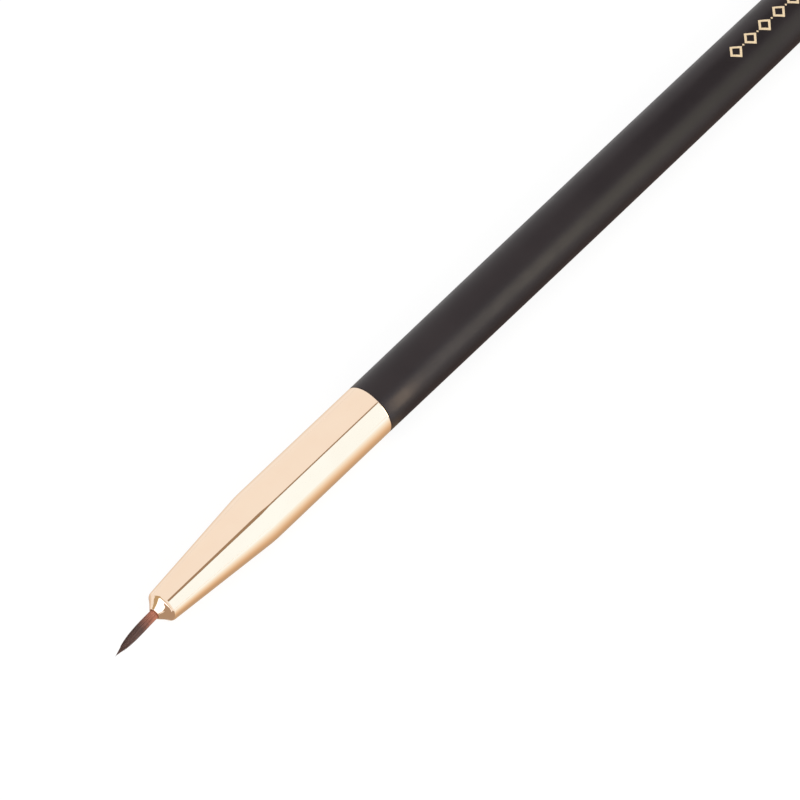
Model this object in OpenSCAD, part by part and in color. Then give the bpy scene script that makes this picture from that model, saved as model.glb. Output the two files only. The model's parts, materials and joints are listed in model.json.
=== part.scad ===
// Fine detail brush: a pointed filament tuft held in a seamless gold-plated ferrule on a
// lacquered wooden handle. It lies along +X, the tip towards -X, resting on the plane z = 0.
// Inside the code each piece is turned about its own axis, with "station" the distance along
// that axis from the ferrule's rear rim: negative towards the tip, positive towards the handle's end.

/* [Tuft] */
// Length of the filaments that stands out of the ferrule's mouth
tuft_l = 7.25; // [5:0.05:9]
// Radius of the filament bundle at the mouth
tuft_r = 0.6; // [0.5:0.01:0.62]
// Length of the filament bundle hidden inside the ferrule
tuft_root_l = 12; // [10:0.5:13]

/* [Ferrule] */
// Length of the ferrule from its rear rim to its mouth
ferrule_l = 38.1; // [37:0.1:42]
// Outer radius of the straight barrel
ferrule_r = 3.5; // [3.4:0.05:3.6]
// Length of the straight barrel
barrel_l = 20.5; // [18:0.1:21]
// Thickness of the drawn tube
wall = 0.3; // [0.25:0.01:0.35]
// Outer radius of the crease where the taper meets the nose
crease_r = 2.08; // [1.8:0.01:2.2]
// Length of the necked nose
nose_l = 1.25; // [1:0.05:1.8]
// Radius of the mouth that the filaments come out of
mouth_r = 0.66; // [0.64:0.01:0.8]

/* [Handle] */
// Length of the handle from the ferrule's rim to its rounded end
handle_l = 129.65; // [110:0.05:140]
// How much thicker the belly's radius is than the ferrule's
belly_gain = 0.13; // [0.05:0.01:0.3]
// Distance of the belly from the ferrule's rim
belly_at = 48; // [30:1:60]
// Radius just before the rounded end
end_r = 2.2; // [1.8:0.1:2.8]
// Length of the tenon inside the ferrule
tenon_l = 12; // [10:0.5:13]
// Number of glue grooves around the tenon
groove_count = 3; // [2:1:4]

/* [Foil mark] */
// Number of lozenges in the row
lozenge_count = 11; // [3:1:14]
// Distance from one lozenge to the next
lozenge_pitch = 2.8; // [2.6:0.1:3]
// Distance of the row's start from the ferrule's rim
foil_start = 67.3; // [40:0.1:75]
// Turn of the row about the brush's axis, away from the top
foil_turn = 8; // [-30:1:30]

/* [Hidden] */
$fn = 96;

// Where the pieces lie
belly_r = ferrule_r + belly_gain;
total_l = tuft_l + ferrule_l + handle_l;
rim_x = tuft_l + ferrule_l - total_l / 2; // the ferrule's rear rim, with x = 0 midway along the brush
mouth_at = -ferrule_l;
tip_at = mouth_at - tuft_l;
root_at = mouth_at + tuft_root_l;

// Ferrule
bore_r = ferrule_r - wall;
lip_t = 0.1;              // thickness of the tube at the mouth
lip_r = mouth_r + lip_t;
land_l = 0.35;            // straight length of the mouth's bore
rim_edge = 0.15;
lip_edge = 0.05;
taper_soft = 0.9;         // reach of the soft bend where the barrel turns into the taper
neck_share = 0.64;        // place of the nose's hollow, as a share of the nose's length
flare_share = 0.56;       // how far the nose has opened there, as a share of its whole flare
neck_at = mouth_at + neck_share * nose_l;
neck_r = lip_r + flare_share * (crease_r - lip_r);
shoulder_l = norm([crease_r - neck_r, nose_l - neck_share * nose_l]); // from the hollow to the crease
crease_soft = 0.38 * shoulder_l; // reach of the bend at the crease
neck_soft = 0.6 * shoulder_l;    // reach of the hollow curve, which ends where the crease's bend starts

// Tuft
core_r = 0.3;
tuft_taper_l = 5.2;       // length over which the tuft closes to its point
tuft_taper_power = 2.6;
outer_end_gap = 0.05;     // thickness left at the outer filaments' ends

// Binding thread
thread_r = 0.08;
thread_turns = 5;
thread_pitch = 0.18;
thread_gap = 0.02;
thread_depth = 3.5;       // how far the first turn lies in front of the bundle's root
thread_at = root_at - thread_depth;
thread_steps = 16;        // rings per turn
thread_sides = 8;

// Glue
film_t = 0.08;            // adhesive film between tenon and bore
glue_from_mouth = 2.4;    // how far behind the mouth the resin starts
glue_past_root = 2;       // how far behind the bundle's root it ends
glue_front = mouth_at + glue_from_mouth;
glue_back = root_at + glue_past_root;
tenon_r = bore_r - film_t;
tenon_glue_back = -0.4;   // station where the film ends, just inside the rim
past = 1;                 // how far a cutting or clipping shape runs past what it meets

// Handle
tenon_chamfer = 0.5;
groove_w = 0.9;
groove_d = 0.25;
shoulder_edge = 0.12;
end_cap_l = 2.6;
taper_power = 3.2;
body_steps = 34;
cap_steps = 10;

// Foil
foil_t = 0.02;
lozenge_w = 2.2;
lozenge_h = 2.1;
stroke = 0.3;             // width of a line of foil
dot_w = 0.34;

function unit(v) = v / norm(v);

// A quadratic curve in place of the corner at b, starting a distance d before it and ending d after it
function soft_corner(a, b, c, d, n = 6) =
    let (p = b + unit(a - b) * d, q = b + unit(c - b) * d)
    [for (i = [0:n]) let (t = i / n) (1 - t) ^ 2 * p + 2 * t * (1 - t) * b + t ^ 2 * q];

// An open path with its inner corners softened; each entry is [radius, station, reach of the curve]
function softened(path) =
    [for (i = [0:len(path) - 1])
        let (here = [path[i][0], path[i][1]], reach = path[i][2])
        each reach == 0 ? [here]
            : soft_corner([path[i - 1][0], path[i - 1][1]], here, [path[i + 1][0], path[i + 1][1]], reach)];

// The ferrule's outside, from its rear rim to the lip of the mouth
outside = softened([
    [bore_r, 0, 0],
    [ferrule_r, 0, rim_edge],
    [ferrule_r, -barrel_l, taper_soft],
    [crease_r, mouth_at + nose_l, crease_soft],
    [neck_r, neck_at, neck_soft],
    [lip_r, mouth_at, lip_edge],
    [mouth_r, mouth_at, 0]]);

// The ferrule's inside, from the mouth back to the rear rim
inside = softened([
    [mouth_r, mouth_at, 0],
    [mouth_r, mouth_at + land_l, 0],
    [crease_r - wall, mouth_at + nose_l + wall / 2, crease_soft],
    [bore_r, -barrel_l, taper_soft],
    [bore_r, 0, 0]]);

// Radius of the tuft at a distance u from its tip
function tuft_radius(u) = tuft_r * (1 - max(0, 1 - u / tuft_taper_l) ^ tuft_taper_power);

// Radius of the handle at a station behind the rim: a slight swell to the belly, then a long taper
function handle_radius(s) =
    s < belly_at ? ferrule_r + belly_gain * sin(90 * s / belly_at)
    : belly_r - (belly_r - end_r) * ((s - belly_at) / (handle_l - belly_at)) ^ taper_power;

// Turns children drawn about Z into the brush's own place: Z becomes the station, along +X
module along_brush() translate([rim_x, 0, belly_r]) rotate([0, 90, 0]) children();

module turned() along_brush() rotate_extrude() children();

module band(from, to, r) translate([0, from]) square([r, to - from]);

module tenon_outline() {
    difference() {
        polygon([[0, -tenon_l], [tenon_r - tenon_chamfer, -tenon_l],
                 [tenon_r, tenon_chamfer - tenon_l], [tenon_r, 0], [0, 0]]);
        for (i = [1:groove_count])
            translate([tenon_r - groove_d, -tenon_l * i / (groove_count + 1) - groove_w / 2])
                square([groove_d * 2, groove_w]);
    }
}

module handle() {
    cap_from = handle_l - end_cap_l;
    cap_r = handle_radius(cap_from);
    body = [for (i = [1:body_steps]) let (s = cap_from * i / body_steps) [handle_radius(s), s]];
    cap = [for (i = [1:cap_steps]) let (t = 90 * i / cap_steps)
        [cap_r * cos(t), cap_from + end_cap_l * sin(t)]];
    edge = soft_corner([0, 0], [ferrule_r, 0], [ferrule_r, past], shoulder_edge);
    color([0.17, 0.15, 0.15]) turned() union() {
        polygon(concat([[0, 0]], edge, body, cap));
        tenon_outline();
    }
}

module ferrule() {
    last = len(inside) - 1;
    color([0.96, 0.82, 0.66]) turned()
        polygon(concat(outside, [for (i = [1:last - 1]) inside[i]]));
}

module cavity_outline() polygon(concat(inside, [[0, 0], [0, mouth_at]]));

module core_filaments() {
    steps = 8;
    point_l = tuft_taper_l * (1 - (1 - core_r / tuft_r) ^ (1 / tuft_taper_power));
    point = [for (i = [0:steps]) let (u = point_l * i / steps) [tuft_radius(u), tip_at + u]];
    color([0.33, 0.24, 0.22]) turned() polygon(concat(point, [[core_r, root_at], [0, root_at]]));
}

module outer_filaments() {
    steps = 12;
    end_r = core_r + outer_end_gap;
    from = tuft_taper_l * (1 - (1 - end_r / tuft_r) ^ (1 / tuft_taper_power));
    skin = [for (i = [0:steps]) let (u = from + (tuft_taper_l - from) * i / steps)
        [tuft_radius(u), tip_at + u]];
    color([0.62, 0.38, 0.32]) turned()
        polygon(concat([[core_r, tip_at + from]], skin, [[tuft_r, root_at], [core_r, root_at]]));
}

// One thread wound side by side around the root of the bundle
module binding_thread() {
    rings = thread_turns * thread_steps;
    wound_r = tuft_r + thread_r + thread_gap;
    points = [for (i = [0:rings], j = [0:thread_sides - 1])
        let (turn = 360 * i / thread_steps, side = 360 * j / thread_sides,
             r = wound_r + thread_r * cos(side))
        [r * cos(turn), r * sin(turn),
         thread_at + thread_pitch * i / thread_steps + thread_r * sin(side)]];
    tube = [for (i = [0:rings - 1], j = [0:thread_sides - 1])
        let (a = i * thread_sides, b = a + thread_sides, k = (j + 1) % thread_sides)
        [a + j, a + k, b + k, b + j]];
    first = [for (j = [thread_sides - 1:-1:0]) j];
    last = [for (j = [0:thread_sides - 1]) rings * thread_sides + j];
    color([0.85, 0.82, 0.74]) along_brush() polyhedron(points, concat(tube, [first, last]));
}

// Resin poured into the ferrule around and behind the bundle's root
module root_glue() {
    pocket_r = tuft_r + 2 * thread_r + 2 * thread_gap;
    pocket_end = thread_at + thread_turns * thread_pitch + thread_r + thread_gap;
    color([0.86, 0.76, 0.5]) turned() difference() {
        intersection() {
            cavity_outline();
            band(glue_front, glue_back, ferrule_r);
        }
        band(glue_front - past, root_at, tuft_r);
        band(thread_at - thread_r - thread_gap, pocket_end, pocket_r);
    }
}

// Adhesive film between the tenon and the ferrule's bore, which also fills the grooves
module tenon_glue() {
    color([0.8, 0.75, 0.6]) turned() difference() {
        translate([tenon_r - groove_d, tenon_chamfer - tenon_l])
            square([bore_r - tenon_r + groove_d, tenon_l - tenon_chamfer + tenon_glue_back]);
        tenon_outline();
    }
}

module lozenge(w, h) polygon([[-w / 2, 0], [0, -h / 2], [w / 2, 0], [0, h / 2]]);

module lozenge_row() {
    shrink = 2 * stroke * norm([lozenge_w, lozenge_h]) / lozenge_h; // the sides slant
    for (i = [0:lozenge_count - 1])
        translate([foil_start + lozenge_w / 2 + i * lozenge_pitch, 0]) {
            difference() {
                lozenge(lozenge_w, lozenge_h);
                lozenge(lozenge_w - shrink, lozenge_h - shrink * lozenge_h / lozenge_w);
            }
            if (i < lozenge_count - 1) translate([lozenge_pitch / 2, 0]) lozenge(dot_w, dot_w);
        }
}

// A row of open lozenges in gold foil, hot-stamped on the lacquer
module foil_mark() {
    steps = 16;
    from = foil_start - past;
    to = foil_start + lozenge_count * lozenge_pitch + past;
    under = [for (i = [0:steps]) let (s = from + (to - from) * i / steps) [handle_radius(s), s]];
    over = [for (i = [steps:-1:0]) under[i] + [foil_t, 0]];
    color([0.93, 0.78, 0.5]) intersection() {
        turned() polygon(concat(under, over));
        translate([rim_x, 0, belly_r]) rotate([foil_turn, 0, 0])
            linear_extrude(belly_r + past) lozenge_row();
    }
}

handle();
ferrule();
core_filaments();
outer_filaments();
binding_thread();
root_glue();
tenon_glue();
foil_mark();
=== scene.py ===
"""Looks of the fine detail brush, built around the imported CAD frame. Lengths are in metres.

The brush lies along X with its tip towards -X. A "station" is a distance along its axis from the
ferrule's rear rim, negative towards the tip, as in the CAD model.
"""

import json
import math
import random

import bmesh
import bpy
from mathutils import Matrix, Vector


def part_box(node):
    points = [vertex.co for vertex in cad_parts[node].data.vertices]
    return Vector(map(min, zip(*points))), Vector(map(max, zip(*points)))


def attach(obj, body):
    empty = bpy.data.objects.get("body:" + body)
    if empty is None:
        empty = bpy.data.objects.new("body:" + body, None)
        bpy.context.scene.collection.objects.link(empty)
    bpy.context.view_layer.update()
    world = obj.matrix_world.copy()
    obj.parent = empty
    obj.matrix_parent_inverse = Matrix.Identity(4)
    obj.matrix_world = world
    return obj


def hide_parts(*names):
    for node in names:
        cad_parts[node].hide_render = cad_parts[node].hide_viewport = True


MM = 0.001
FULL_TURN = 2 * math.pi
NO_RADIUS = 1e-7                 # a profile point closer to the axis than this is one vertex

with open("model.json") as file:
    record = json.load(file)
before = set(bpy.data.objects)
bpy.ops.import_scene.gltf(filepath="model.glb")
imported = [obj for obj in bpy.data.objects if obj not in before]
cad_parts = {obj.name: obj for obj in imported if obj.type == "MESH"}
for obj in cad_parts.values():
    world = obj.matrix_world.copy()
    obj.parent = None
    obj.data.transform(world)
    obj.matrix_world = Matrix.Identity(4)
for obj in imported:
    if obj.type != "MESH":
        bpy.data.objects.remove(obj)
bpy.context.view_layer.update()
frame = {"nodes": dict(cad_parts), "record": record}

# Places read from the frame
rim_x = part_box("ferrule")[1].x
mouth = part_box("ferrule")[0].x - rim_x
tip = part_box("core_filaments")[0].x - rim_x
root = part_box("core_filaments")[1].x - rim_x
handle_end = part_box("handle")[1].x - rim_x
tenon_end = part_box("handle")[0].x - rim_x
foil_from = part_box("foil_mark")[0].x - rim_x
seat = frame["record"]["mounts"][0]
axis_z = seat["pos_m"][2]
ferrule_r = seat["dims"]["r_mm"] * MM
belly_r = axis_z

# Sizes that the CAD model has and the frame's boxes don't give
BARREL = 20.5 * MM               # length of the ferrule's straight part
WALL = 0.3 * MM
CREASE_R = 2.08 * MM
NOSE = 1.25 * MM
MOUTH_R = 0.66 * MM
LIP = 0.1 * MM
NECK_AT = 0.8 * MM
NECK_R = 1.499 * MM
LAND = 0.35 * MM                 # length of the straight bore behind the mouth
BELLY_AT = 48 * MM
END_R = 2.2 * MM
END_CAP = 2.6 * MM
TAPER_POWER = 3.2
TENON_R = 3.12 * MM
TENON_CHAMFER = 0.5 * MM
GROOVES = 3
GROOVE_WIDTH = 0.9 * MM
GROOVE_DEPTH = 0.25 * MM
TUFT_R = 0.6 * MM
CORE_R = 0.3 * MM
TUFT_TAPER = 5.2 * MM
TUFT_TAPER_POWER = 2.6
FOIL_TURN = math.radians(8)
FOIL_LIFT = 0.018 * MM
LOZENGES = 11
LOZENGE_PITCH = 2.8 * MM
LOZENGE_WIDTH = 2.2 * MM
LOZENGE_HEIGHT = 2.1 * MM
STROKE = 0.3 * MM
DOT = 0.34 * MM
DOT_CORE = DOT / 50              # the dots are lozenges too, with an opening too small to see

# Reach of the curve that softens each corner of the ferrule and of the handle's shoulder
RIM_SOFT = 0.15 * MM
BARREL_SOFT = 0.9 * MM
CREASE_SOFT = 0.28 * MM
INNER_CREASE_SOFT = 0.25 * MM
NECK_SOFT = 0.44 * MM
LIP_SOFT = 0.05 * MM
SHOULDER_SOFT = 0.12 * MM

# Fineness of the turned meshes
FERRULE_SEGMENTS = 288
HANDLE_SEGMENTS = 224
OUTER_RINGS = 0.6 * MM           # greatest distance between two rings
INNER_RINGS = 1.5 * MM
HOLD = 0.02 * MM                 # distance of a holding ring from the bend beside it
BODY_RINGS = 160
CAP_RINGS = 24

# Tuft
TUFT_BEND = 0.46 * MM            # how far the tip leans away from the axis
TUFT_BEND_POWER = 1.6
BEND_TURN = math.radians(114.7)
FILAMENT_R = 0.036 * MM
FILAMENT_SIDES = 7
FILAMENT_STEPS = 18
FILAMENT_TAPER = 3.6 * MM        # length over which a filament thins to its point
FILAMENT_POINT = 0.25            # share of the thickness that is left at the point
WOBBLE_OUT = 0.12
WOBBLE_TURN = 0.35

# Studio
ROOM_LIGHT = 0.96
KEY_POWER = 3.0
KEY_SIZE = (0.5, 0.35)
KEY_DISTANCE = 0.8
KEY_TURN = math.radians(55)
KEY_X = 0.05
FLOOR_HALF = 6.0
FLOOR_LIFT = 0.86                # light that the lens sees in the floor
CREAM = (1.03, 1.25, 1.43)
NOSE_GAP = 0.3 * MM              # height of the nose's cards above the floor
# height of the card of painted floor shade below the nose
SHADE_CARD_Z = 0.2 * MM
FLOOR_CARD_Z = 0.1 * MM
FLOOR_SLANT = 0.45               # a reflected ray's way along +X for each step away from the brush
LENS_TURN = 24.7                 # turn of the lens about the brush's axis, in degrees from the top

# Distance of each card from the brush's axis, or from the nose
FRONT_CARD_AT = 0.30
GAP_CARD_AT = 0.28
HANDLE_CARD_AT = 0.12
HANDLE_SKY_AT = 0.10
JOINT_CARD_AT = 0.012
NOSE_CARD_AT = 0.10
NOSE_DARK_AT = 0.09

# Camera: a long lens looking down at the brush, so that its axis leans 26 degrees towards the lens
AZIMUTH = math.radians(-49.3)
ELEVATION = math.radians(54.7)
CAMERA_DISTANCE = 0.7167
LENS = 271.9
AIM_RIGHT = 3.62 * MM
AIM_UP = 1.23 * MM


# ---- Geometry helpers ----

def on_axis(station, radius, turn):
    """The point at a station and radius, turned about the axis from the top towards -Y."""
    return Vector((rim_x + station, -radius * math.sin(turn), axis_z + radius * math.cos(turn)))


def lerp(a, b, t):
    """The value at a share t of the way from a to b."""
    return a + (b - a) * t


def soft_corner(a, b, c, reach, steps=8):
    """A quadratic curve in place of the corner at b; all points are (station, radius)."""
    a, b, c = Vector(a), Vector(b), Vector(c)
    start = b + (a - b).normalized() * reach
    end = b + (c - b).normalized() * reach
    times = [i / steps for i in range(steps + 1)]
    return [(1 - t) ** 2 * start + 2 * t * (1 - t) * b + t ** 2 * end for t in times]


def softened(path):
    """An open path whose corners are softened; each entry is (station, radius, reach of the curve)."""
    points = []
    for i, (station, radius, reach) in enumerate(path):
        if reach:
            points += soft_corner(path[i - 1][:2], (station, radius), path[i + 1][:2], reach)
        else:
            points.append(Vector((station, radius)))
    return points


def refined(points, spacing):
    """The same path with its long stretches divided, and a ring close to both ends of each.

    The close rings keep a straight stretch's reflections straight up to the bend beside it.
    """
    result = [points[0]]
    for a, b in zip(points, points[1:]):
        length = (b - a).length
        if length > spacing:
            near = HOLD / length
            count = math.ceil(length / spacing)
            shares = [near] + [i / count for i in range(1, count)] + [1 - near]
            result += [a.lerp(b, share) for share in shares]
        result.append(b)
    return result


def new_object(name, mesh, materials):
    """Puts a mesh into the scene as an object with its materials."""
    for material in materials:
        mesh.materials.append(material)
    obj = bpy.data.objects.new(name, mesh)
    bpy.context.scene.collection.objects.link(obj)
    return obj


def mesh_from(name, bm, smooth=True):
    """Turns a bmesh into a mesh with outward normals and smooth shading."""
    bmesh.ops.recalc_face_normals(bm, faces=bm.faces)
    for face in bm.faces:
        face.smooth = smooth
    mesh = bpy.data.meshes.new(name)
    bm.to_mesh(mesh)
    bm.free()
    return mesh


def lathe(name, profile, materials, segments, closed=False, slot_of=None):
    """Turns a profile of (station, radius) points about the brush's axis.

    slot_of gives the material slot of the faces between a ring and the next.
    """
    bm = bmesh.new()
    rings = []
    for station, radius in profile:
        if radius < NO_RADIUS:
            rings.append([bm.verts.new(on_axis(station, 0, 0))])
        else:
            turns = [FULL_TURN * k / segments for k in range(segments)]
            rings.append([bm.verts.new(on_axis(station, radius, turn)) for turn in turns])
    pairs = list(zip(rings, rings[1:]))
    if closed:
        pairs.append((rings[-1], rings[0]))
    for index, (a, b) in enumerate(pairs):
        for k in range(segments):
            corners = [a[k % len(a)], a[(k + 1) % len(a)], b[(k + 1) % len(b)], b[k % len(b)]]
            face = bm.faces.new(list(dict.fromkeys(corners)))
            if slot_of:
                face.material_index = slot_of(index)
    return new_object(name, mesh_from(name, bm), materials)


# ---- Material helpers ----

class Shader:
    """A material's node tree, with short calls for the nodes that this scene uses."""

    def __init__(self, name, **sockets):
        self.material = bpy.data.materials.new(name)
        self.material.use_nodes = True
        self.nodes = self.material.node_tree.nodes
        self.links = self.material.node_tree.links
        self.surface = self.nodes["Principled BSDF"]
        for socket, value in sockets.items():
            self.surface.inputs[socket.replace("_", " ")].default_value = value
        self.place = self.add("ShaderNodeTexCoord").outputs["Object"]

    def add(self, kind, **settings):
        """A new node with its settings."""
        node = self.nodes.new(kind)
        for key, value in settings.items():
            setattr(node, key, value)
        return node

    def link(self, source, target):
        self.links.new(source, target)

    def stretched(self, x, y, z):
        """The piece's own coordinates, scaled along each axis."""
        node = self.add("ShaderNodeMapping")
        node.inputs["Scale"].default_value = (x, y, z)
        self.link(self.place, node.inputs["Vector"])
        return node.outputs["Vector"]

    def noise(self, scale, detail=3, vector=None, roughness=0.5):
        """Noise in the piece's own coordinates, or in the given ones."""
        node = self.add("ShaderNodeTexNoise")
        node.inputs["Scale"].default_value = scale
        node.inputs["Detail"].default_value = detail
        node.inputs["Roughness"].default_value = roughness
        self.link(vector or self.place, node.inputs["Vector"])
        return node.outputs["Fac"]

    def ramp(self, source, *stops):
        """A colour ramp; each stop is (place, colour)."""
        node = self.add("ShaderNodeValToRGB")
        elements = node.color_ramp.elements
        while len(elements) < len(stops):
            elements.new(0.5)
        for element, (place, colour) in zip(elements, stops):
            element.position = place
            element.color = (*colour, 1)
        self.link(source, node.inputs["Fac"])
        return node.outputs["Color"]

    def span(self, source, low, high, from_low=0.3, from_high=0.7):
        """Maps a texture's usual range onto low..high."""
        node = self.add("ShaderNodeMapRange")
        ends = (("From Min", from_low), ("From Max", from_high), ("To Min", low), ("To Max", high))
        for socket, value in ends:
            node.inputs[socket].default_value = value
        self.link(source, node.inputs["Value"])
        return node.outputs["Result"]

    def mix(self, factor, first, second, mode="MIX"):
        """Mixes two colour outputs by a factor that is a number or an output."""
        node = self.add("ShaderNodeMix", data_type="RGBA", blend_type=mode)
        if isinstance(factor, float):
            node.inputs[0].default_value = factor
        else:
            self.link(factor, node.inputs[0])
        for socket, value in ((node.inputs[6], first), (node.inputs[7], second)):
            if isinstance(value, tuple):
                socket.default_value = (*value, 1)
            else:
                self.link(value, socket)
        return node.outputs[2]

    def bump(self, *layers):
        """Adds bump layers, each (height output, distance in metres, strength)."""
        normal = None
        for height, distance, strength in layers:
            node = self.add("ShaderNodeBump")
            node.inputs["Distance"].default_value = distance
            node.inputs["Strength"].default_value = strength
            self.link(height, node.inputs["Height"])
            if normal:
                self.link(normal, node.inputs["Normal"])
            normal = node.outputs["Normal"]
        self.link(normal, self.surface.inputs["Normal"])

    def colour(self, output):
        self.link(output, self.surface.inputs["Base Color"])

    def rough(self, output):
        self.link(output, self.surface.inputs["Roughness"])


# ---- Materials ----

def gold_plate():
    """Polished pale rose gold: faint cloudiness, and fine polishing marks around the tube."""
    s = Shader("gold_plate", Metallic=1.0)
    s.colour(s.ramp(s.noise(260), (0.35, (0.965, 0.752, 0.576)), (0.65, (0.975, 0.772, 0.596))))
    polish = s.stretched(5200, 420, 420)
    s.rough(s.span(s.noise(1, 4, polish), 0.03, 0.05))
    s.bump((s.noise(1, 3, polish), 0.15e-6, 0.4), (s.noise(1500, 2), 0.25e-6, 0.3))
    return s.material


def black_lacquer():
    """Satin black lacquer over wood: a fine orange peel and slight changes in its sheen."""
    s = Shader("black_lacquer", Specular_IOR_Level=0.40, Specular_Tint=(1.0, 0.83, 0.87, 1))
    s.colour(s.ramp(s.noise(180, 4), (0.3, (0.0075, 0.0062, 0.0064)), (0.7, (0.011, 0.009, 0.009))))
    s.rough(s.span(s.noise(420, 4), 0.34, 0.42))
    grain = s.stretched(60, 900, 900)
    s.bump((s.noise(2600, 2), 1.2e-6, 0.5), (s.noise(1, 3, grain), 2e-6, 0.35))
    return s.material


def bare_wood():
    """Unlacquered hardwood, with its grain along the tenon."""
    s = Shader("bare_wood", Specular_IOR_Level=0.3)
    grain = s.noise(1, 6, s.stretched(90, 1600, 1600), 0.65)
    s.colour(s.ramp(grain, (0.3, (0.42, 0.27, 0.14)), (0.55, (0.62, 0.43, 0.25)),
                    (0.75, (0.70, 0.52, 0.32))))
    s.rough(s.span(grain, 0.55, 0.75))
    s.bump((grain, 12e-6, 0.6))
    return s.material


def filament(name, dark, red):
    """Tapered synthetic filaments: red-brown from the root, dark brown at the tip."""
    s = Shader(name, Roughness=0.42, Specular_IOR_Level=0.35)
    along = s.add("ShaderNodeAttribute", attribute_name="along").outputs["Fac"]
    shade = s.add("ShaderNodeAttribute", attribute_name="shade").outputs["Fac"]
    length = s.ramp(along, (0.0, dark), (0.62, dark), (0.95, red))
    tone = s.ramp(shade, (0.0, (0.62, 0.62, 0.62)), (1.0, (1.0, 1.0, 1.0)))
    s.colour(s.mix(1.0, length, tone, "MULTIPLY"))
    s.rough(s.span(shade, 0.34, 0.5, 0.0, 1.0))
    s.bump((s.noise(1, 2, s.stretched(2500, 30000, 30000)), 0.6e-6, 0.4))
    return s.material


def amber_resin():
    """Cast epoxy, amber and slightly cloudy, with small bubbles."""
    s = Shader("amber_resin", Transmission_Weight=0.35, IOR=1.52)
    s.colour(s.ramp(s.noise(900, 4), (0.35, (0.55, 0.36, 0.12)), (0.65, (0.72, 0.52, 0.24))))
    s.rough(s.span(s.noise(2500), 0.12, 0.3))
    s.bump((s.noise(4200, 2), 6e-6, 0.4))
    return s.material


def set_glue():
    """Set wood glue: pale, uneven and dull."""
    s = Shader("set_glue", Specular_IOR_Level=0.4)
    s.colour(s.ramp(s.noise(1100, 4), (0.3, (0.60, 0.53, 0.36)), (0.7, (0.78, 0.72, 0.55))))
    s.rough(s.span(s.noise(1800), 0.4, 0.6))
    s.bump((s.noise(2400, 3), 10e-6, 0.5))
    return s.material


def twisted_thread():
    """Off-white polyester thread with the slant of its twist."""
    s = Shader("twisted_thread", Sheen_Weight=0.25)
    twist = s.add("ShaderNodeTexWave", wave_type="BANDS", bands_direction="DIAGONAL")
    twist.inputs["Scale"].default_value = 5200
    twist.inputs["Distortion"].default_value = 2
    s.link(s.place, twist.inputs["Vector"])
    s.colour(s.ramp(twist.outputs["Fac"], (0.0, (0.55, 0.50, 0.42)), (1.0, (0.84, 0.80, 0.71))))
    s.rough(s.span(s.noise(5200), 0.7, 0.85))
    s.bump((twist.outputs["Fac"], 12e-6, 0.6))
    return s.material


def gold_foil():
    """Hot-stamped pale gold foil, a little grainy from the lacquer below."""
    s = Shader("gold_foil", Metallic=0.35)
    s.colour(s.ramp(s.noise(2200, 3), (0.3, (0.84, 0.66, 0.42)), (0.7, (0.92, 0.73, 0.48))))
    s.rough(s.span(s.noise(5200, 3), 0.24, 0.38))
    s.bump((s.noise(9000, 2), 1.0e-6, 0.5))
    return s.material


# ---- Pieces ----

def finish_piece(piece, slot, *nodes):
    """Ties a piece to the CAD body and hides the nodes that it stands for; slot is not used."""
    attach(piece, "root")
    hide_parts(*nodes)


def make_ferrule():
    """The seamless tube: straight barrel, long taper, soft crease, short nose and a thin lip."""
    bore = ferrule_r - WALL
    outside = softened([
        (0, bore, 0),
        (0, ferrule_r, RIM_SOFT),
        (-BARREL, ferrule_r, BARREL_SOFT),
        (mouth + NOSE, CREASE_R, CREASE_SOFT),
        (mouth + NECK_AT, NECK_R, NECK_SOFT),
        (mouth, MOUTH_R + LIP, LIP_SOFT),
        (mouth, MOUTH_R, 0)])
    inside = softened([
        (mouth, MOUTH_R, 0),
        (mouth + LAND, MOUTH_R, 0),
        (mouth + NOSE + WALL / 2, CREASE_R - WALL, INNER_CREASE_SOFT),
        (-BARREL, bore, BARREL_SOFT),
        (0, bore, 0)])
    profile = refined(outside, OUTER_RINGS) + refined(inside, INNER_RINGS)[1:-1]
    piece = lathe("ferrule_tube", profile, [gold_plate()], FERRULE_SEGMENTS, closed=True)
    finish_piece(piece, "gold_plate", "ferrule")


def handle_radius(station):
    """Radius behind the rim: a slight swell to the belly, then a long taper."""
    if station < BELLY_AT:
        return lerp(ferrule_r, belly_r, math.sin(math.pi / 2 * station / BELLY_AT))
    share = (station - BELLY_AT) / (handle_end - BELLY_AT)
    return belly_r - (belly_r - END_R) * share ** TAPER_POWER


def tenon_profile():
    """The tenon from its end to the shoulder, with its glue grooves."""
    path = [(tenon_end, 0), (tenon_end, TENON_R - TENON_CHAMFER),
            (tenon_end + TENON_CHAMFER, TENON_R)]
    for i in range(GROOVES, 0, -1):
        middle = tenon_end * i / (GROOVES + 1)
        low = middle - GROOVE_WIDTH / 2
        high = middle + GROOVE_WIDTH / 2
        path += [(low, TENON_R), (low, TENON_R - GROOVE_DEPTH),
                 (high, TENON_R - GROOVE_DEPTH), (high, TENON_R)]
    return [Vector(point) for point in path] + [Vector((0, TENON_R))]


def make_handle():
    """The turned rod: bare tenon, square shoulder, lacquered body and rounded end."""
    tenon = tenon_profile()
    shoulder = soft_corner((0, TENON_R), (0, ferrule_r), (1 * MM, ferrule_r), SHOULDER_SOFT)
    cap_from = handle_end - END_CAP
    cap_r = handle_radius(cap_from)
    stations = [cap_from * i / BODY_RINGS for i in range(1, BODY_RINGS + 1)]
    body = [Vector((station, handle_radius(station))) for station in stations]
    angles = [math.pi / 2 * i / CAP_RINGS for i in range(1, CAP_RINGS + 1)]
    cap = [Vector((cap_from + END_CAP * math.sin(a), cap_r * math.cos(a))) for a in angles]
    profile = tenon + shoulder + body + cap
    bare = len(tenon)
    piece = lathe("handle_rod", profile, [black_lacquer(), bare_wood()], HANDLE_SEGMENTS,
                  slot_of=lambda ring: 1 if ring < bare else 0)
    finish_piece(piece, "lacquered_wood", "handle")


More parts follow.
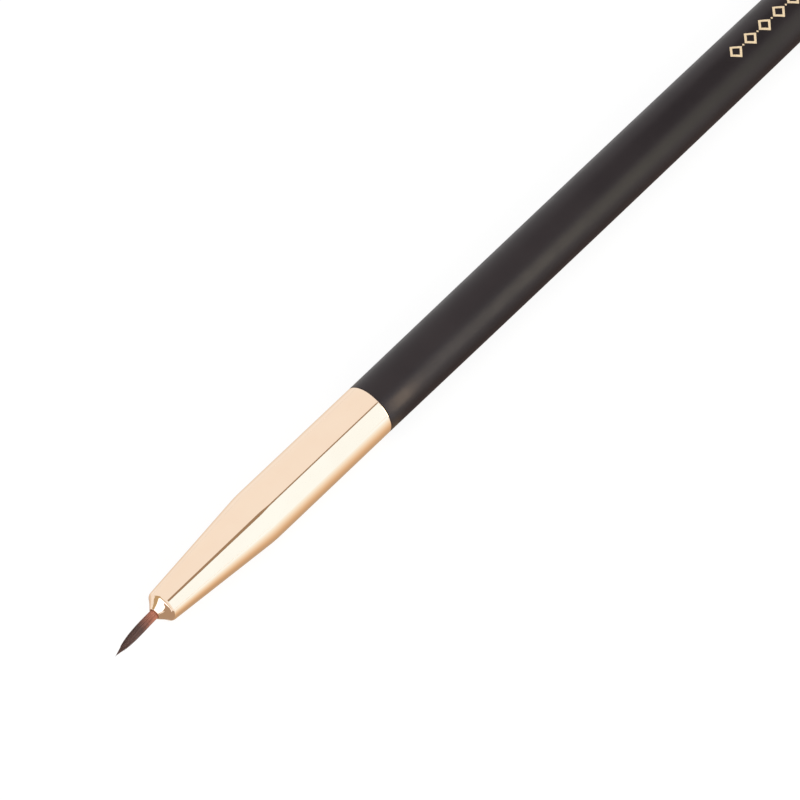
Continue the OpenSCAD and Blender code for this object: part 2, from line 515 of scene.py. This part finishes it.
def tuft_radius(from_tip):
    """Radius of the whole bundle at a distance from its tip."""
    return TUFT_R * (1 - max(0.0, 1 - from_tip / TUFT_TAPER) ** TUFT_TAPER_POWER)


def bend_at(station):
    """Sideways shift of the tuft at a station in front of the mouth."""
    share = max(0.0, (mouth - station) / (mouth - tip))
    return TUFT_BEND * share ** TUFT_BEND_POWER


def filament_path(spot, turn, end, wobble):
    """Stations and places of one filament from its root to its own tip."""
    stations = [root, lerp(root, mouth, 0.6), mouth + 0.5 * MM]
    stations += [lerp(mouth, end, i / FILAMENT_STEPS) for i in range(FILAMENT_STEPS + 1)]
    shift_way = on_axis(0, 1, BEND_TURN) - on_axis(0, 0, 0)
    path = []
    for station in stations:
        envelope = tuft_radius(station - tip) - FILAMENT_R
        out = max(0.0, (mouth - station) / (mouth - tip))
        radius = spot * max(envelope, 0.1 * FILAMENT_R) * (1 + wobble * out * WOBBLE_OUT)
        place = on_axis(station, radius, turn + wobble * out * WOBBLE_TURN)
        path.append((station, place + shift_way * bend_at(station)))
    return path


def filament_thickness(station, end):
    """A filament keeps its thickness for most of its length and then thins to a fine point."""
    left = max(0.0, (station - end) / FILAMENT_TAPER)
    return FILAMENT_R * lerp(FILAMENT_POINT, 1, min(1.0, left) ** 0.6)


def add_filament(bm, layers, path, end, shade):
    """Sweeps one thin tapered tube along a path and closes both ends."""
    along, tone = layers
    rings = []
    for station, place in path:
        radius = filament_thickness(station, end)
        ring = []
        for k in range(FILAMENT_SIDES):
            angle = FULL_TURN * k / FILAMENT_SIDES
            side = Vector((0, radius * math.cos(angle), radius * math.sin(angle)))
            vert = bm.verts.new(place + side)
            vert[along] = min(1.0, max(0.0, (station - tip) / (mouth - tip)))
            vert[tone] = shade
            ring.append(vert)
        rings.append(ring)
    for a, b in zip(rings, rings[1:]):
        for k in range(FILAMENT_SIDES):
            j = (k + 1) % FILAMENT_SIDES
            bm.faces.new((a[k], a[j], b[j], b[k]))
    bm.faces.new(rings[0][::-1])
    bm.faces.new(rings[-1])


def make_filaments(name, node, slot, material, inner, outer, count, longest, shortest, seed):
    """A group of filaments in a sunflower layout between two shares of the bundle's radius.

    Each filament's own tip lies between longest and shortest behind the tuft's tip.
    """
    dice = random.Random(seed)
    bm = bmesh.new()
    layers = (bm.verts.layers.float.new("along"), bm.verts.layers.float.new("shade"))
    golden = math.pi * (3 - math.sqrt(5))
    for i in range(count):
        spot = math.sqrt(lerp(inner ** 2, outer ** 2, (i + 0.5) / count))
        spread = (spot - inner) / (outer - inner)
        end = tip + lerp(longest, shortest, spread ** 2 * dice.uniform(0.55, 1.0))
        turn = i * golden + dice.uniform(-0.05, 0.05)
        path = filament_path(spot, turn, end, dice.uniform(-1, 1))
        add_filament(bm, layers, path, end, dice.random())
    piece = new_object(name, mesh_from(name, bm), [material])
    finish_piece(piece, slot, node)


def make_tuft():
    """The dark core that makes the point, and the redder filaments around it."""
    core_share = CORE_R / TUFT_R
    dark = filament("filament_core", (0.115, 0.062, 0.052), (0.24, 0.10, 0.07))
    red = filament("filament_outer", (0.132, 0.070, 0.056), (0.54, 0.20, 0.125))
    make_filaments("core_tuft", "core_filaments", "filament_core", dark, inner=0.0, outer=core_share,
                   count=60, longest=0.0, shortest=0.5 * MM, seed=3)
    make_filaments("outer_tuft", "outer_filaments", "filament", red, inner=core_share, outer=1.0,
                   count=210, longest=0.2 * MM, shortest=2.3 * MM, seed=8)


def on_handle(station, across, lift):
    """A point on the lacquer, across the foil row's middle line by an arc length."""
    radius = handle_radius(station) + lift
    return on_axis(station, radius, FOIL_TURN - across / radius)


def lozenge(width, height):
    """The four corners of a lozenge, as (along, across)."""
    return [Vector((-width / 2, 0)), Vector((0, -height / 2)),
            Vector((width / 2, 0)), Vector((0, height / 2))]


def foil_strip(bm, middle, outer, inner, steps=12):
    """A thin raised band of foil between two lozenges, with each side in so many steps."""
    outline = [outer[k].lerp(outer[(k + 1) % 4], i / steps) for k in range(4) for i in range(steps)]
    inset = [inner[k].lerp(inner[(k + 1) % 4], i / steps) for k in range(4) for i in range(steps)]
    layers = []
    for points in (outline, inset):
        for lift in (0.0, FOIL_LIFT):
            layers.append([bm.verts.new(on_handle(middle + p.x, p.y, lift)) for p in points])
    low_out, top_out, low_in, top_in = layers
    for a, b in ((low_out, top_out), (top_out, top_in), (top_in, low_in), (low_in, low_out)):
        for k in range(len(a)):
            j = (k + 1) % len(a)
            bm.faces.new((a[k], a[j], b[j], b[k]))


def make_foil():
    """The row of open lozenges with small dots between them."""
    bm = bmesh.new()
    shrink = 2 * STROKE * math.hypot(LOZENGE_WIDTH, LOZENGE_HEIGHT) / LOZENGE_HEIGHT
    for i in range(LOZENGES):
        middle = foil_from + LOZENGE_WIDTH / 2 + i * LOZENGE_PITCH
        opening = lozenge(LOZENGE_WIDTH - shrink,
                          LOZENGE_HEIGHT - shrink * LOZENGE_HEIGHT / LOZENGE_WIDTH)
        foil_strip(bm, middle, lozenge(LOZENGE_WIDTH, LOZENGE_HEIGHT), opening)
        if i < LOZENGES - 1:
            dot = middle + LOZENGE_PITCH / 2
            foil_strip(bm, dot, lozenge(DOT, DOT), lozenge(DOT_CORE, DOT_CORE), steps=3)
    piece = new_object("foil_row", mesh_from("foil_row", bm, smooth=False), [gold_foil()])
    finish_piece(piece, "gold_foil", "foil_mark")


def dress_inner_nodes():
    """Materials for the CAD nodes inside the ferrule, which keep their CAD shape."""
    for node, material in (("binding_thread", twisted_thread()), ("root_glue", amber_resin()),
                           ("tenon_glue", set_glue())):
        mesh = frame["nodes"][node].data
        mesh.materials.clear()
        mesh.materials.append(material)


# ---- Studio ----

def glow(name, *stops, along=None):
    """An emitting material for the studio's cards: one colour, or (place, colour) along X or Y."""
    material = bpy.data.materials.new(name)
    material.use_nodes = True
    nodes, links = material.node_tree.nodes, material.node_tree.links
    nodes.clear()
    emission = nodes.new("ShaderNodeEmission")
    output = nodes.new("ShaderNodeOutputMaterial")
    links.new(emission.outputs[0], output.inputs["Surface"])
    if along is None:
        emission.inputs["Color"].default_value = (*stops[0], 1)
        return material
    low, high = stops[0][0], stops[-1][0]
    ramp = nodes.new("ShaderNodeValToRGB")
    while len(ramp.color_ramp.elements) < len(stops):
        ramp.color_ramp.elements.new(0.5)
    for element, (place, colour) in zip(ramp.color_ramp.elements, stops):
        element.position = (place - low) / (high - low)
        element.color = (*colour, 1)
    split = nodes.new("ShaderNodeSeparateXYZ")
    links.new(nodes.new("ShaderNodeTexCoord").outputs["Object"], split.inputs[0])
    share = nodes.new("ShaderNodeMapRange")
    share.inputs["From Min"].default_value = low
    share.inputs["From Max"].default_value = high
    links.new(split.outputs[along], share.inputs["Value"])
    links.new(share.outputs["Result"], ramp.inputs["Fac"])
    links.new(ramp.outputs["Color"], emission.inputs["Color"])
    return material


def card(name, rungs, material):
    """A card that only reflections see, spanned between pairs of corners like a ladder's rungs."""
    bm = bmesh.new()
    pairs = [[bm.verts.new(corner) for corner in rung] for rung in rungs]
    for (a, b), (c, d) in zip(pairs, pairs[1:]):
        bm.faces.new((a, b, d, c))
    obj = new_object(name, mesh_from(name, bm, smooth=False), [material])
    for flag in ("visible_camera", "visible_diffuse", "visible_transmission", "visible_shadow"):
        setattr(obj, flag, False)


def around(turn, distance, x):
    """A place at a distance from the brush's axis, turned from the top towards -Y."""
    return Vector((x, -distance * math.sin(turn), axis_z + distance * math.cos(turn)))


def side_card(name, line, distance, material):
    """A card beside the brush; each entry of its line is (x, first turn, last turn) in degrees."""
    rungs = [[around(math.radians(turn), distance, x) for turn in turns] for x, *turns in line]
    card(name, rungs, material)


def seen_from_nose(azimuth, elevation, distance):
    """A place seen from the nose, above the floor; azimuth 0 is towards -X and 90 towards -Y, in degrees."""
    a = math.radians(azimuth)
    e = math.radians(elevation)
    if e < 0:
        distance = min(distance, (axis_z - NOSE_GAP) / math.sin(-e))
    nose = Vector((rim_x + mouth, 0, axis_z))
    way = Vector((-math.cos(a) * math.cos(e), -math.sin(a) * math.cos(e), math.sin(e)))
    return nose + distance * way


def nose_card(name, line, distance, material):
    """A card in front of the nose; each entry of its line is (azimuth, low, high) in degrees."""
    card(name, [[seen_from_nose(a, e, distance) for e in ends] for a, *ends in line], material)


def floor_card(name, x_from, x_to, y_near, y_far, material):
    """A card on the floor that slants towards +X away from the brush, as its reflection does."""
    slant = FLOOR_SLANT * abs(y_far - y_near)
    near = [(x_from, y_near, FLOOR_CARD_Z), (x_to, y_near, FLOOR_CARD_Z)]
    far = [(x_from + slant, y_far, FLOOR_CARD_Z), (x_to + slant, y_far, FLOOR_CARD_Z)]
    card(name, [near, far], material)


def make_key_light():
    """A large soft light over the lens's right shoulder, which polished metal doesn't show."""
    data = bpy.data.lights.new("key_light", "AREA")
    data.shape = "RECTANGLE"
    data.size, data.size_y = KEY_SIZE
    data.energy = KEY_POWER
    data.color = (1.0, 0.97, 0.93)
    obj = bpy.data.objects.new("key_light", data)
    place = around(KEY_TURN, KEY_DISTANCE, KEY_X)
    obj.location = place
    obj.rotation_euler = (place - Vector((rim_x, 0, axis_z))).to_track_quat("Z", "Y").to_euler()
    bpy.context.scene.collection.objects.link(obj)
    obj.visible_camera = False
    obj.visible_glossy = False


def make_floor():
    """A plain pale surface under the brush. The lens sees only a faint contact shadow on it."""
    s = Shader("pale_floor", Roughness=0.85, Specular_IOR_Level=0.1)
    seen = s.add("ShaderNodeLightPath").outputs["Is Camera Ray"]
    pale = s.ramp(s.noise(14, 2), (0.3, (0.80, 0.80, 0.80)), (0.7, (0.82, 0.82, 0.82)))
    s.colour(s.mix(seen, pale, (0.16, 0.16, 0.16)))
    s.surface.inputs["Emission Color"].default_value = (1, 1, 1, 1)
    s.link(s.span(seen, 0.0, FLOOR_LIFT, 0.0, 1.0), s.surface.inputs["Emission Strength"])
    bm = bmesh.new()
    corners = [(-FLOOR_HALF, -FLOOR_HALF, 0), (FLOOR_HALF, -FLOOR_HALF, 0),
               (FLOOR_HALF, FLOOR_HALF, 0), (-FLOOR_HALF, FLOOR_HALF, 0)]
    bm.faces.new([bm.verts.new(corner) for corner in corners])
    floor = new_object("floor", mesh_from("floor", bm, smooth=False), [s.material])


def make_world():
    """An even pale light from all around."""
    world = bpy.data.worlds.new("soft_studio")
    world.use_nodes = True
    sky = world.node_tree.nodes["Background"]
    sky.inputs["Color"].default_value = (1, 1, 1, 1)
    sky.inputs["Strength"].default_value = ROOM_LIGHT
    bpy.context.scene.world = world


def make_side_cards():
    """The cream front, the warm lights on the handle, the dark gap and the handle's dusky sky."""
    side_card("front_card", [(-0.09, LENS_TURN, 92), (0.102, LENS_TURN, 92)], FRONT_CARD_AT,
              glow("cream", CREAM))
    warm = glow("warm", (0.0185, (5.6, 5.2, 4.4)), (0.027, (4.1, 4.2, 3.6)), (0.047, (2.15, 2.4, 1.7)),
                (0.073, (1.2, 1.33, 1.1)), (0.1, (1.0, 1.1, 0.98)), along="X")
    side_card("handle_card", [(0.0185, 47, 92), (0.25, 47, 92)], HANDLE_CARD_AT, warm)
    side_card("joint_card", [(-0.0373, 50, 90), (-0.0345, 50, 90)], JOINT_CARD_AT,
              glow("joint_warm", (5.9, 5.3, 3.9)))
    widths = [(-0.06, 14), (0.02, 11), (0.07, 5.1), (0.0929, 5.1)]
    side_card("gap_card", [(x, LENS_TURN - w / 2, LENS_TURN + w / 2) for x, w in widths], GAP_CARD_AT,
              glow("gap_dark", (0.36, 0.265, 0.18)))
    dusk = glow("dusk", (0.0078, (1.6, 1.5, 1.5)), (0.017, (1.0, 1.0, 1.0)), (0.037, (0.76, 0.73, 0.75)),
                (0.063, (0.38, 0.36, 0.38)), (0.08, (0.28, 0.26, 0.28)), along="X")
    side_card("handle_sky", [(0.0078, -36, 36), (0.25, -36, 36)], HANDLE_SKY_AT, dusk)


def make_floor_cards():
    """The floor as the metal and the lacquer show it: bright, with painted contact shade, warm and darker,
    close to them.
    """
    x_from = rim_x - 45 * MM
    x_joint = rim_x + 1.5 * MM
    x_to = 0.3
    y_near = -1 * MM
    y_far = -0.33
    back_shade = glow("back_shade", (4 * MM, (0.60, 0.47, 0.38)), (6 * MM, (0.75, 0.62, 0.52)),
                      (9 * MM, (0.86, 0.75, 0.64)), (13 * MM, (0.92, 0.87, 0.80)),
                      (20 * MM, (ROOM_LIGHT,) * 3), along="Y")
    floor_card("back_floor", x_from, x_joint, 0.3 * MM, 0.4, back_shade)
    gold_shade = glow("gold_shade", (-32 * MM, CREAM), (-16.5 * MM, (0.99, 1.06, 1.05)),
                      (-10.8 * MM, (0.94, 0.87, 0.76)), (-7.8 * MM, (0.83, 0.68, 0.52)),
                      (-5.7 * MM, (0.70, 0.50, 0.32)), (-4 * MM, (0.55, 0.40, 0.27)), along="Y")
    floor_card("gold_floor", x_from, x_joint, y_near, y_far, gold_shade)
    lacquer_shade = glow("lacquer_shade", (-33 * MM, (1.0, 1.0, 1.0)), (-13 * MM, (0.66, 0.63, 0.61)),
                         (-7 * MM, (0.30, 0.22, 0.19)), (-4 * MM, (0.22, 0.16, 0.14)), along="Y")
    floor_card("lacquer_floor", x_joint, x_to, y_near, y_far, lacquer_shade)


def make_nose_cards():
    """What the nose shows: a white card, a dim gap around it, and painted shade for the shaded floor below.
    """
    low = [(-31, 9), (7, 12), (16, 8), (26, 8), (35, 5), (44, -6), (52, -19)]
    high = [31, 31, 31, 24, 16, 4, -8]
    white = [(azimuth, bottom, top) for (azimuth, bottom), top in zip(low, high)]
    nose_card("tip_light", white, NOSE_CARD_AT, glow("tip_white", (1.7, 1.8, 1.95)))
    gap = [(-56, 31, 52)] + [(azimuth, top, top + 18) for (azimuth, _), top in zip(low, high)]
    nose_card("tip_gap", gap, NOSE_CARD_AT, glow("tip_gap", (0.50, 0.36, 0.20)))
    nose_card("tip_dark", [(-56, -3, 31), (-31, -3, 31)], NOSE_DARK_AT,
              glow("tip_olive", (0.52, 0.40, 0.24)))
    # Painted shade: dim brown cards stand for the floor in the nose's shadow, as the gold reflects it
    brown = glow("floor_painted_shade", (0.44, 0.33, 0.25))
    floor_edge = -6
    below = [(azimuth, floor_edge, bottom) for azimuth, bottom in low if bottom > floor_edge]
    nose_card("tip_painted_shade", below, NOSE_CARD_AT, brown)
    x_from = rim_x + mouth - 50 * MM
    x_to = rim_x + mouth + 1 * MM
    rungs = [[(x_from, y, SHADE_CARD_Z), (x_to, y, SHADE_CARD_Z)] for y in (3 * MM, -30 * MM)]
    card("painted_shade_card", rungs, brown)


def make_camera():
    """The photo's long lens, aimed near the ferrule's rear rim."""
    level = math.cos(ELEVATION)
    back = Vector((math.sin(AZIMUTH) * level, -math.cos(AZIMUTH) * level, math.sin(ELEVATION)))
    right = Vector((math.cos(AZIMUTH), math.sin(AZIMUTH), 0))
    up = back.cross(right)
    aim = Vector((rim_x, 0, axis_z)) + right * AIM_RIGHT + up * AIM_UP
    data = bpy.data.cameras.new("camera")
    data.lens = LENS
    data.clip_start, data.clip_end = 0.01, 50
    camera = bpy.data.objects.new("camera", data)
    camera.location = aim + back * CAMERA_DISTANCE
    camera.rotation_euler = back.to_track_quat("Z", "Y").to_euler()
    bpy.context.scene.collection.objects.link(camera)
    bpy.context.scene.camera = camera


def set_view():
    """Plain colours, with no film look."""
    view = bpy.context.scene.view_settings
    view.view_transform = "Standard"
    view.look = "None"


make_camera()
make_world()
make_key_light()
make_side_cards()
make_floor_cards()
make_nose_cards()
make_floor()
make_handle()
make_ferrule()
make_tuft()
make_foil()
dress_inner_nodes()
set_view()

bpy.context.view_layer.update()
